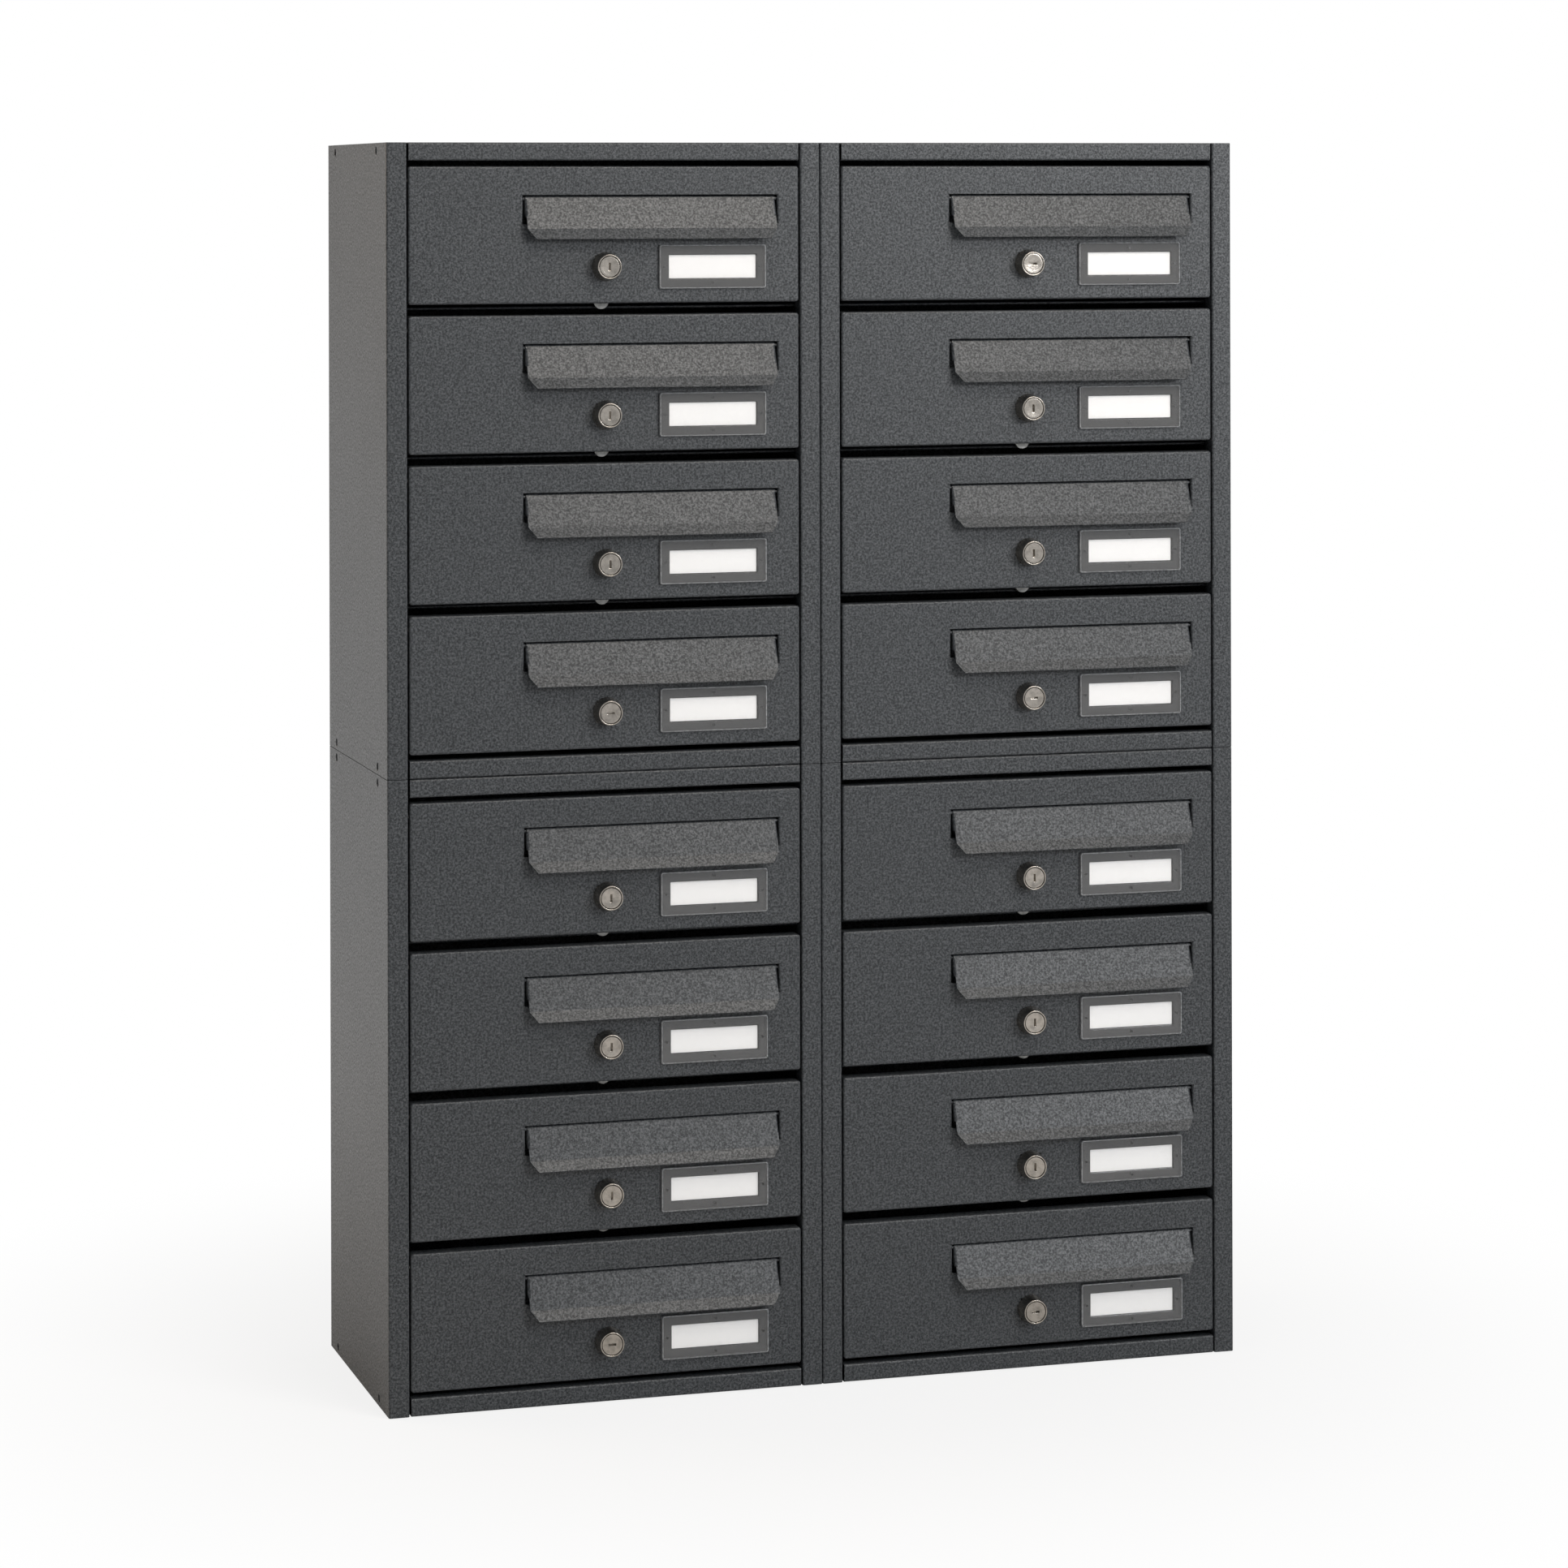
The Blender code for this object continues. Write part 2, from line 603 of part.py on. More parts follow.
def build_unit():
    """Place four modules and their sixteen boxes."""
    casing = casing_mesh()
    top = panel_mesh(TOP_RAIL)
    bottom = panel_mesh(BOTTOM_RAIL)
    door = door_mesh()
    flap = flap_mesh()
    plug = plug_mesh()
    for mesh in (casing, top, bottom, door, flap, plug):
        mesh.set_sharp_from_angle(angle=math.radians(35))
    coat = new_material("powder_coated_steel", COATING, 0.55, 0.0)
    nickel = new_material("nickel_plate", NICKEL, 0.25, 1.0)
    pitch_x = MODULE_WIDTH + MODULE_GAP
    pitch_z = MODULE_HEIGHT + MODULE_GAP
    for column in range(COLUMNS):
        for row in range(ROWS):
            x = (column - (COLUMNS - 1) / 2) * pitch_x
            z = (ROWS - 1 - row) * pitch_z
            where = module_name(row, column)
            place(f"casing_{where}", casing, coat, (x, 0, z))
            place(f"bottom_panel_{where}", bottom, coat, (x, 0, z))
            place(f"top_panel_{where}", top, coat, (x, 0, z + MODULE_HEIGHT),
                  turn=(0, math.pi, 0))
            for box_row in range(BOXES):
                tag = f"{where}_{box_row + 1}"
                axis = (x, FRONT + HINGE_BACK, z + row_door_top(box_row) - HINGE_DROP)
                leaf = place(f"door_{tag}", door, coat, axis)
                place(f"slot_flap_{tag}", flap, coat, FLAP_PIVOT, parent=leaf)
                turned_back = (row, column, box_row) in UNLOCKED
                place(f"lock_plug_{tag}", plug, nickel, LOCK_AT, parent=leaf,
                      turn=(0, -math.pi / 2, 0) if turned_back else None)


def module_name(row, column):
    """upper_left to lower_right on a unit of two by two, numbered on a larger one."""
    high = "upper" if row == 0 else "lower" if row == 1 else f"row{row + 1}"
    side = "left" if column == 0 else "right" if column == 1 else f"column{column + 1}"
    return f"{high}_{side}"


clear_scene()
PARTS = new_collection("cluster_mailbox_unit")
SHAPES = new_collection("cutters")
build_unit()
for left_over in list(SHAPES.objects):
    bpy.data.objects.remove(left_over, do_unlink=True)
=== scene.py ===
"""Looks of the cluster mailbox unit: sixteen letter boxes in four folded-steel modules.

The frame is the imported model's: metres, +Z up, the front faces -Y. Shapes are worked out in millimetres as
whole arrays, each kind once and in its own frame. finished() turns them into meshes in metres, and place()
sets a copy down wherever the unit has that piece.

A shape is a pair: points (n, 3) and four-cornered faces (m, 4).
"""

import json
import math

import bmesh
import bpy
import numpy as np
from mathutils import Matrix, Vector


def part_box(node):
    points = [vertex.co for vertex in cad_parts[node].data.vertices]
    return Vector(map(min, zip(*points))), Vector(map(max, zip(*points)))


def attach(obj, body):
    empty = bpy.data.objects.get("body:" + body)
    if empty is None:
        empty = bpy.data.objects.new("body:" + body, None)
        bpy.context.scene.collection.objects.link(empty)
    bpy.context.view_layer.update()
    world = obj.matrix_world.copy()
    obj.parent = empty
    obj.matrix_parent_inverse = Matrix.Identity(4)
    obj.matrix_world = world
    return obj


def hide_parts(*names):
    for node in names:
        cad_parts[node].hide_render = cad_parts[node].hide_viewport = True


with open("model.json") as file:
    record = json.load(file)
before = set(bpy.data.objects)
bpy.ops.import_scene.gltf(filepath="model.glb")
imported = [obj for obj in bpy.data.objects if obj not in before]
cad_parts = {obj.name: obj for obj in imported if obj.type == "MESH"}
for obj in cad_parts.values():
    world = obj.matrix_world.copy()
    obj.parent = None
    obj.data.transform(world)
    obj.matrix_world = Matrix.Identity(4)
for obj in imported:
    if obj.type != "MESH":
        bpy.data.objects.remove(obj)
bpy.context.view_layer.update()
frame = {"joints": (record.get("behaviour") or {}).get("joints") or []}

# Casing, in millimetres from the module's middle and floor. The front plane is FRONT.
WIDTH = 320.0
HEIGHT = 450.0
FRONT = -101.7715
BACK = FRONT + 215.0
SHEET = 1.2
FOLD = 1.5
POST_INSIDE = 145.0
LIP_BACK = FRONT + 14.0
ROW_PITCH = 106.1
FIRST_DOOR_TOP = 433.1
DOOR_HEIGHT = 98.1
TOP_RAIL = 12.9
BOTTOM_RAIL = 12.8
BOXES = (1, 2, 3, 4)
SCREW_INSET = 45.0
JOINT_INSET = 5.5
SHELF_SHEET = 1.0
SHELF_SPLIT = 13.0
FIXED_GAP = 0.3

# Door, in millimetres from its hinge axis
DOOR_HALF = 144.0
DOOR_TOP = 10.0
DOOR_BOTTOM = DOOR_TOP - DOOR_HEIGHT
FACE = -6.0
RIM = 6.0
CORNER = 2.2
SLOT_LEFT = -60.8
SLOT_RIGHT = 127.8
SLOT_TOP = -10.5
SLOT_BOTTOM = -31.5
LUG_BOTTOM = -31.0
LUG_BACK = 2.5
LUG_PATCH = 1.85
LUG_BORE = 1.8
LOCK_PATCH = 8.0
FLAP_PIVOT = (33.5, -2.6, -13.2)
FLAP_HALF = 92.5
FLAP_SHEET = 1.0
FLAP_SLOPE = math.radians(20)
FLAP_LEAN = math.radians(35)
FLAP_FACE = 23.5
FLAP_LIP = 8.8
LIP_NARROWS = 5.5
CURL = 1.7
CURL_STEPS = 19
EARS_DOWN = (1.0, 6.5, 14.0)
EARS_DEEP = (6.8, 6.8, 1.9)
LOCK = (0.0, -6.0, -61.8)
PLATE = (78.75, -6.0, -62.2)
CAM_REACH = 30.9

# Where rays 15 degrees apart meet the side of a square, in half sides from its middle
SPREAD = np.tan(np.radians([-45, -30, -15, 0, 15, 30, 45]))


# --- Shapes -----------------------------------------------------------------------------------------------


def grid(points, keep=None, round_rows=False, round_columns=False):
    """A grid of points (rows, columns, 3) with a face between each four neighbours where keep is true.
    A direction that goes round joins its last line to its first."""
    rows, columns = points.shape[:2]
    number = np.arange(rows * columns).reshape(rows, columns)
    if round_columns:
        number = np.hstack([number, number[:, :1]])
    if round_rows:
        number = np.vstack([number, number[:1]])
    faces = np.stack([number[:-1, :-1], number[:-1, 1:], number[1:, 1:], number[1:, :-1]], axis=-1)
    faces = faces.reshape(-1, 4)
    if keep is not None:
        faces = faces[keep.reshape(-1)]
    return points.reshape(-1, 3), faces


def join(*shapes):
    """One shape of several, each face's numbers moved past the points before it."""
    starts = np.cumsum([0] + [len(points) for points, _ in shapes])
    return (np.concatenate([points for points, _ in shapes]),
            np.concatenate([faces + start for (_, faces), start in zip(shapes, starts)]))


def moved(shape, by):
    """A shape shifted by a vector."""
    return shape[0] + np.array(by, float), shape[1]


def middles(values):
    """Half-way values between neighbours along a line."""
    return (values[:-1] + values[1:]) / 2


def folded(corners, radius, steps=6, stops=None):
    """Points along an open line of straight sides, rounded at each inner corner.
    An arc of the radius touches both sides: start + radius (sin a along + (1 - cos a) across).
    stops gives, for a side, the distances from its first corner that also get a point."""
    corners = np.array(corners, float)
    ways = np.diff(corners, axis=0)
    ways /= np.linalg.norm(ways, axis=1)[:, None]
    line = [corners[:1]]
    for side, (corner, way) in enumerate(zip(corners, ways)):
        line.append(corner + np.outer(sorted((stops or {}).get(side, ())), way))
        if side + 1 < len(ways):
            after = ways[side + 1]
            turn = math.atan2(way[0] * after[1] - way[1] * after[0], way @ after)
            across = np.sign(turn) * np.array([-way[1], way[0]])
            start = corners[side + 1] - way * radius * math.tan(abs(turn) / 2)
            a = np.linspace(0, abs(turn), steps + 1)
            line.append(start + radius * (np.outer(np.sin(a), way) + np.outer(1 - np.cos(a), across)))
    line.append(corners[-1:])
    return np.concatenate(line)


def folded_sheet(across, along, keep):
    """A sheet folded both ways. across gives (x, rise) and along gives (y, rise): a point takes its x from
    the first, its y from the second, and its height from the sum of the two rises."""
    x, rise_x = across.T
    y, rise_y = along.T
    points = np.stack(np.broadcast_arrays(x[:, None], y[None], rise_x[:, None] + rise_y[None]), axis=-1)
    cells = (middles(x)[:, None], middles(y)[None], middles(rise_x)[:, None], middles(rise_y)[None])
    return grid(points, keep(*cells))


def disc(half, rings):
    """(across, up, depth) of the patch between a square and the circles in it. Twenty-four rays leave the
    centre. The first ring lies where they meet the square, half / max(|cos|, |sin|), the others on circles
    given as (radius, depth)."""
    turn = np.radians(np.arange(0, 360, 15))
    reach = np.vstack([half / np.maximum(abs(np.cos(turn)), abs(np.sin(turn)))]
                      + [np.full(24, radius) for radius, _ in rings])
    depth = np.array([0.0] + [d for _, d in rings])[:, None] + 0 * reach
    return np.stack([reach * np.cos(turn), reach * np.sin(turn), depth], axis=-1)


def turned(profile, sides=48, radius_at=None):
    """A closed (radius, y) line turned about the Y axis: x = r cos t, z = r sin t.
    radius_at changes the radius by row and angle."""
    t = np.arange(sides) * math.tau / sides
    r, y = np.array(profile, float).T
    r = r[:, None] + 0 * t
    if radius_at is not None:
        r = radius_at(r, y[:, None], t[None])
    points = np.stack(np.broadcast_arrays(r * np.cos(t), y[:, None], r * np.sin(t)), axis=-1)
    return grid(points, round_rows=True, round_columns=True)


def rounded(half_x, half_z, corner, steps=6):
    """Points round a rectangle with round corners, (n, 2), each corner a quarter circle."""
    a = np.radians(np.linspace(0, 90, steps + 1))[None] + np.radians([0, 90, 180, 270])[:, None]
    way = np.array([(1, 1), (-1, 1), (-1, -1), (1, -1)], float)
    x = way[:, :1] * (half_x - corner) + corner * np.cos(a)
    z = way[:, 1:] * (half_z - corner) + corner * np.sin(a)
    return np.stack([x.reshape(-1), z.reshape(-1)], axis=-1)


def stacked(levels, capped=True, steps=6):
    """Rounded rectangles (half x, half z, corner radius, y) joined one to the next. Capped ends run in to
    their middle. Without caps the last joins the first, as round a window."""
    rings = []
    for half_x, half_z, corner, y in levels:
        ring = rounded(half_x, half_z, corner, steps)
        rings.append(np.insert(ring, 1, y, axis=1))
    if capped:
        rings.insert(0, rings[0] * (0, 1, 0))
        rings.append(rings[-1] * (0, 1, 0))
    return grid(np.stack(rings), round_rows=not capped, round_columns=True)


def along_x(shape):
    """A shape drawn along Y turned to lie along X."""
    points, faces = shape
    return points[:, (1, 0, 2)], faces


# --- Pieces of the casing ---------------------------------------------------------------------------------


def row_top(row):
    """Top edge of a door above the module's floor, rows counted from 0 at the top."""
    return FIRST_DOOR_TOP - row * ROW_PITCH


def casing_sheet():
    """Lips, posts, sides and back: one folded line in plan, carried up the module. Hinge holes in the lips,
    sunk knock-outs for screws in the back and pressed joints in the sides are round patches in square gaps
    of the grid."""
    half = WIDTH / 2
    corners = np.array([(-POST_INSIDE, LIP_BACK), (-POST_INSIDE, FRONT), (-half, FRONT), (-half, BACK),
                        (half, BACK), (half, FRONT), (POST_INSIDE, FRONT), (POST_INSIDE, LIP_BACK)])
    hinge = [row_top(box - 1) - DOOR_TOP for box in BOXES]
    screw = [SCREW_INSET, HEIGHT - SCREW_INSET]
    joint = [JOINT_INSET, HEIGHT - JOINT_INSET]
    hole = [(2.0, 0.0)]
    knock_out = [(4.0, 0.0), (3.95, 0.25), (3.9, 1.0), (0.0, 1.05)]
    pressed = [(3.1, 0.0), (3.0, 0.2), (2.75, 1.0), (2.3, 1.2), (0.0, 1.25)]
    # (side of the line, distance along it, height, half the patch's square, its rings)
    features = ([(0, 8.0, z, 2.4, hole) for z in hinge] + [(6, 6.0, z, 2.4, hole) for z in hinge]
                + [(3, s, z, 4.6, knock_out) for s in (SCREW_INSET, WIDTH - SCREW_INSET) for z in screw]
                + [(2, s, z, 3.4, pressed) for s in (35.0, 187.0) for z in joint]
                + [(4, s, z, 3.4, pressed) for s in (28.0, 180.0) for z in joint])
    stops = {}
    heights = [0.0, HEIGHT]
    for side, s, z, square, _ in features:
        stops.setdefault(side, set()).update(np.round(s + square * SPREAD, 6))
        heights.extend(np.round(z + square * SPREAD, 6))
    plan = folded(corners, FOLD, stops=stops)
    z_lines = np.unique(heights)
    points = np.concatenate([np.repeat(plan[:, None], len(z_lines), axis=1),
                             np.broadcast_to(z_lines[None, :, None], (len(plan), len(z_lines), 1))], axis=-1)
    keep = np.ones((len(plan) - 1, len(z_lines) - 1), bool)
    patches = []
    for side, s, z, square, rings in features:
        way = corners[side + 1] - corners[side]
        way = way / np.linalg.norm(way)
        out = np.array([-way[1], way[0]])
        centre = corners[side] + way * s
        near = np.linalg.norm(middles(plan) - centre, axis=1) < square
        keep &= ~(near[:, None] & (abs(middles(z_lines) - z) < square)[None])
        across, up, depth = np.moveaxis(disc(square, rings), -1, 0)
        flat = centre + across[..., None] * way - depth[..., None] * out
        patches.append(grid(np.concatenate([flat, (z + up)[..., None]], axis=-1), round_columns=True))
    return join(grid(points, keep), *patches)


def shelf_sheet():
    """A shelf: its front edge doubled back under it, its sides and rear turned down. Drawn from its top."""
    front = FRONT + 19.0
    rear = BACK - SHEET - 0.2
    side = WIDTH / 2 - SHEET - 0.2
    across = folded([(-side, -10), (-side, 0), (side, 0), (side, -10)], 1.05)
    along = folded([(front + 12, -2.1), (front, -2.1), (front, 0), (rear, 0), (rear, -10)], 1.05,
                   stops={2: (SHELF_SPLIT,)})
    return folded_sheet(across, along, lambda x, y, turn_x, turn_y:
                        (turn_x > -0.001) | ((turn_y > -0.001) & (y > front + SHELF_SPLIT)))


def panel_sheet(rail):
    """Bottom panel: a floor with its sides and rear turned up, and a rail between the posts whose free edge
    is folded back. Cells where two folds would meet are left out, as at the corners of a cut blank."""
    side = WIDTH / 2 - SHEET - FIXED_GAP
    narrow = POST_INSIDE - 1.2
    step = LIP_BACK + FIXED_GAP
    rear = BACK - SHEET - FIXED_GAP
    across = folded([(-side, 12), (-side, 0), (side, 0), (side, 12)], FOLD,
                    stops={1: (side - narrow, side + narrow)})
    along = folded([(rear, 12), (rear, 0), (FRONT, 0), (FRONT, rail), (FRONT + 10, rail)], FOLD,
                   stops={1: (rear - step,)})
    return folded_sheet(across, along, lambda x, y, turn_x, turn_y:
                        ((turn_x < 0.001) | ((turn_y < 0.001) & (y > step)))
                        & ((abs(x) < narrow) | (y > step)))


# --- Pieces of a door -------------------------------------------------------------------------------------


def door_pan():
    """The door's pan, with its slot, the lock's hole and the folded lugs at the slot's ends.
    Lines beyond the flat core are numbered outwards: ring m lies out[m] beyond the core and back[m] behind
    the face. In a corner a point on ring m stands in the direction 45 degrees x (lesser / greater number)
    from the nearer side."""
    a = np.linspace(0, math.pi / 2, 7)
    flat = CORNER - FOLD
    out = np.concatenate([[0], flat + FOLD * np.sin(a), [CORNER]])
    back = np.concatenate([[0], FOLD * (1 - np.cos(a)), [RIM - FACE]])
    last = len(out) - 1
    lug_lines = FLAP_PIVOT[2] + LUG_PATCH * SPREAD
    stops_x = [SLOT_LEFT - FOLD, SLOT_LEFT, -LOCK_PATCH, LOCK_PATCH, SLOT_RIGHT, SLOT_RIGHT + FOLD]
    stops_z = [LOCK[2] - LOCK_PATCH, LOCK[2] + LOCK_PATCH, SLOT_BOTTOM, LUG_BOTTOM, *lug_lines, SLOT_TOP]

    def lines(low, high, stops):
        """Every line's place on the core, its number outwards, and the side (-1, 0, 1) that it is on."""
        inner = np.array([low + CORNER, *stops, high - CORNER])
        place = np.concatenate([np.full(last, inner[0]), inner, np.full(last, inner[-1])])
        number = np.concatenate([np.arange(last, 0, -1), np.zeros(len(inner), int), np.arange(1, last + 1)])
        side = np.concatenate([-np.ones(last), np.zeros(len(inner)), np.ones(last)])
        return place, number, side

    x, number_x, side_x = lines(-DOOR_HALF, DOOR_HALF, stops_x)
    z, number_z, side_z = lines(DOOR_BOTTOM, DOOR_TOP, stops_z)
    nx, nz = np.broadcast_arrays(number_x[:, None], number_z[None])
    ring = np.maximum(nx, nz)
    share = np.minimum(nx, nz) / np.maximum(ring, 1)
    angle = math.pi / 4 * np.where(nx >= nz, share, 2 - share)
    points = np.stack([x[:, None] + side_x[:, None] * out[ring] * np.cos(angle),
                       FACE + back[ring],
                       z[None] + side_z[None] * out[ring] * np.sin(angle)], axis=-1)
    cx, cz = middles(x)[:, None], middles(z)[None]
    slot = (cx > SLOT_LEFT) & (cx < SLOT_RIGHT) & (cz > SLOT_BOTTOM) & (cz < SLOT_TOP)
    fold = (cx > SLOT_LEFT - FOLD) & (cx < SLOT_RIGHT + FOLD) & (cz > LUG_BOTTOM) & (cz < SLOT_TOP)
    lock = (abs(cx) < LOCK_PATCH) & (abs(cz - LOCK[2]) < LOCK_PATCH)
    lugs = [lug(SLOT_LEFT, -1, lug_lines), lug(SLOT_RIGHT, 1, lug_lines)]
    return join(grid(points, ~(slot | fold | lock)), *lugs)


def lug(end, side, lines):
    """One lug: the face turned back at the slot's end, with a round hole for the flap's pin."""
    depth = FLAP_PIVOT[1] + LUG_PATCH * SPREAD
    plan = folded([(end + side * FOLD, FACE), (end, FACE), (end, LUG_BACK)], FOLD - 0.0001,
                  stops={1: depth - FACE})
    z = np.array([LUG_BOTTOM, *lines, SLOT_TOP])
    points = np.concatenate([np.repeat(plan[:, None], len(z), axis=1),
                             np.broadcast_to(z[None, :, None], (len(plan), len(z), 1))], axis=-1)
    near = abs(middles(plan)[:, 1] - FLAP_PIVOT[1]) < LUG_PATCH
    hole = near[:, None] & (abs(middles(z) - FLAP_PIVOT[2]) < LUG_PATCH)[None]
    across, up, _ = np.moveaxis(disc(LUG_PATCH, [(LUG_BORE, 0.0)]), -1, 0)
    ring = np.stack([end + 0 * across, FLAP_PIVOT[1] + across, FLAP_PIVOT[2] + up], axis=-1)
    return join(grid(points, ~hole), grid(ring, round_columns=True))


def lock_head():
    """The lock's head: a tapered ring with a thin rim round its sunk face, and the sleeve behind it."""
    rim = folded([(7.8, -10.2), (7.8, -11.0), (8.75, -11.0), (10.5, -1.2), (10.5, 0.0)], 0.35, steps=4)
    return turned(np.vstack([rim, [(9.0, 0.0), (7.8, 0.0)]]), 64)


def lock_barrel():
    """The threaded barrel behind the door. The thread is a ridge that climbs once a pitch: its height
    follows a triangle wave of depth / pitch - turn. Two flats cut the barrel at 8.1 mm from its middle."""
    pitch = 1.2
    y = np.arange(-0.2, 13.01, pitch / 4)

    def thread(r, depth, t):
        """The outer radius with the ridge and the flats, the bore's radius as it is."""
        wave = abs((depth / pitch - t / math.tau) % 1 - 0.5) * 2
        ridged = np.where((r > 8.5) & (depth > 0.2) & (depth < 12.9), r - 0.5 * wave, r)
        return np.where(r > 8.5, np.minimum(ridged, 8.1 / np.maximum(abs(np.cos(t)), 0.1)), r)

    outer = [(9.1, depth) for depth in y] + [(8.7, 13.2)]
    return turned([(7.8, -0.2)] + outer + [(7.8, 13.2)], 64, thread)


def lock_nut():
    """The nut: a hexagon whose distance in a direction is apothem / cos of the turn from the nearest flat,
    held inside a cone at both faces."""
    def hexagon(r, depth, t):
        """The outer radius cut to the hexagon and the cones, the bore's radius as it is."""
        turn = (t + math.pi / 6) % (math.pi / 3) - math.pi / 6
        cone = 12.4 - np.maximum(0.0, 0.55 - np.minimum(depth - 1.2, 4.2 - depth)) * 1.7
        return np.where(r > 9.3, np.minimum(10.9 / np.cos(turn), cone), r)

    return turned([(9.2, 1.2), (12.5, 1.2), (12.5, 1.5), (12.5, 1.75), (12.5, 3.65), (12.5, 3.9),
                   (12.5, 4.2), (9.2, 4.2)], 96, hexagon)


def plug_body():
    """The plug: a turned face with a keyway sunk in it. The rings run from the keyway's floor up its walls,
    over the face and down the outside. The keyway's ring lies where the rays meet a rectangle."""
    t = np.arange(48) * math.tau / 48
    half_x, half_z = 0.8, 2.9
    wall = np.minimum(half_x / np.maximum(abs(np.cos(t)), 1e-6), half_z / np.maximum(abs(np.sin(t)), 1e-6))
    key = np.stack([wall * np.cos(t), wall * np.sin(t)], axis=-1)
    near = np.isclose(abs(np.sin(t)), math.sin(math.radians(75)))
    key[near] = np.sign(key[near]) * (half_x, half_z)
    round_ = np.stack([np.cos(t), np.sin(t)], axis=-1)
    rings = [(key * 0, -6.6), (key, -6.6), (key, -10.35), (key * (1.35, 1.06), -10.45)]
    rings += [(round_ * r, y) for r, y in ((4.2, -10.47), (5.6, -10.54), (6.8, -10.6), (7.3, -10.55),
                                          (7.5, -10.3), (7.5, 14.4), (0.0, 14.4))]
    return grid(np.stack([np.insert(ring, 1, y, axis=1) for ring, y in rings]), round_columns=True)


def cam_plate():
    """The cam: a bar with round ends, from the lock's axis down to its reach, its edges eased."""
    length = (CAM_REACH + 5.5) / 2
    levels = [(5.5 - ease, length - ease, 5.5 - ease, y)
              for ease, y in ((0.3, 14.5), (0.0, 14.7), (0.0, 16.3), (0.3, 16.5))]
    return moved(stacked(levels), (0, 0, 5.5 - length))


def cam_screw():
    """The cam's screw: a domed round head on a washer."""
    washer = stacked([(5.0, 5.0, 5.0, 16.5), (5.0, 5.0, 5.0, 17.1)])
    dome = [(3.5 * math.cos(a), 3.5 * math.cos(a), 3.5 * math.cos(a), 17.1 + 1.35 * math.sin(a))
            for a in np.linspace(0, math.pi / 2 * 0.85, 6)]
    return join(washer, stacked([(3.5, 3.5, 3.5, 17.1)] + dome))


def plate_cover():
    """The clear cover's border, a flat ring round the card's window with a step down to the card."""
    return stacked([(39.0, 15.0, 1.3, -0.05), (39.0, 15.0, 1.3, -2.6), (33.4, 9.3, 0.9, -2.6),
                    (33.1, 9.0, 0.8, -2.45), (32.9, 8.8, 0.7, -1.5), (32.6, 8.5, 0.6, -1.4),
                    (32.6, 8.5, 0.6, -0.05)], capped=False)


def plate_rim():
    """The cover's outer edge, whose finish paints as a highlight the light that its clear plastic gathers
    there: a wall with a rounded bevel.
    """
    return stacked([(39.75, 15.75, 1.6, -0.05), (39.75, 15.75, 1.6, -2.05), (39.65, 15.65, 1.6, -2.3),
                    (39.4, 15.4, 1.5, -2.5), (39.1, 15.1, 1.4, -2.6), (39.0, 15.0, 1.3, -2.62),
                    (38.9, 14.9, 1.3, -2.5), (38.9, 14.9, 1.3, -0.05)], capped=False)


def flap_sheet():
    """The slot flap: a curl round its pin, the sloped face, and a lip that leans further out and narrows.
    A point's x is its share of the width there. Below the curl the ends turn back as ears: the sheet stops
    short of the end and an arc carries it round, then straight back as far as the ear is deep there."""
    face = np.array([-math.sin(FLAP_SLOPE), -math.cos(FLAP_SLOPE)])
    outward = np.array([-math.cos(FLAP_SLOPE), math.sin(FLAP_SLOPE)])
    start = outward * (CURL - 0.25)
    bend = start + face * FLAP_FACE
    free = bend + np.array([-math.sin(FLAP_LEAN), -math.cos(FLAP_LEAN)]) * FLAP_LIP
    body = folded([start, bend, free], 1.6, steps=3, stops={0: EARS_DOWN})
    a = np.linspace(math.radians(-130), math.pi - FLAP_SLOPE, CURL_STEPS + 1)[:-1]
    curl = CURL * np.stack([np.cos(a), np.sin(a)], axis=-1) - 0.25 * outward
    line = np.concatenate([curl, body])
    down = (line - bend) @ face
    half = FLAP_HALF - LIP_NARROWS * np.clip(down / (FLAP_LIP * math.cos(FLAP_LEAN - FLAP_SLOPE)), 0, 1)
    share = np.array([-1.0, FOLD / FLAP_HALF - 1.0, 1.0 - FOLD / FLAP_HALF, 1.0])
    points = np.stack(np.broadcast_arrays(half[:, None] * share[None], line[:, :1], line[:, 1:]), axis=-1)
    middle_down = (middles(line) - start) @ face
    on_ear = ((np.arange(len(line) - 1) >= CURL_STEPS)
              & (middle_down > EARS_DOWN[0]) & (middle_down < EARS_DOWN[-1]))
    keep = ~(on_ear[:, None] & (abs(middles(share)) > 0.97)[None])
    return join(grid(points, keep), *[flap_ear(side, start, face, outward) for side in (-1, 1)])


def flap_ear(side, start, face, outward):
    """One ear, in rows down the flap's face and steps round the fold and back."""
    down = np.array(EARS_DOWN)
    a = np.linspace(0, math.pi / 2, 7)
    x = side * (FLAP_HALF - FOLD + FOLD * np.append(np.sin(a), 1.0))
    back = np.append(FOLD * (1 - np.cos(a)), 0.0)[None] + 0 * down[:, None]
    back[:, -1] = EARS_DEEP
    across = start + down[:, None, None] * face - back[..., None] * outward
    points = np.concatenate([np.broadcast_to(x[None, :, None], across.shape[:2] + (1,)), across], axis=-1)
    return grid(points)


# --- Meshes -----------------------------------------------------------------------------------------------


def with_modifiers(mesh, *steps):
    """The mesh after modifiers, each given as (kind, settings)."""
    holder = bpy.data.objects.new("holder", mesh)
    bpy.context.scene.collection.objects.link(holder)
    for kind, settings in steps:
        step = holder.modifiers.new(kind, kind)
        for setting, value in settings.items():
            setattr(step, setting, value)
    bpy.context.view_layer.update()
    seen = holder.evaluated_get(bpy.context.evaluated_depsgraph_get())
    made = bpy.data.meshes.new_from_object(seen)
    bpy.data.objects.remove(holder)
    return made


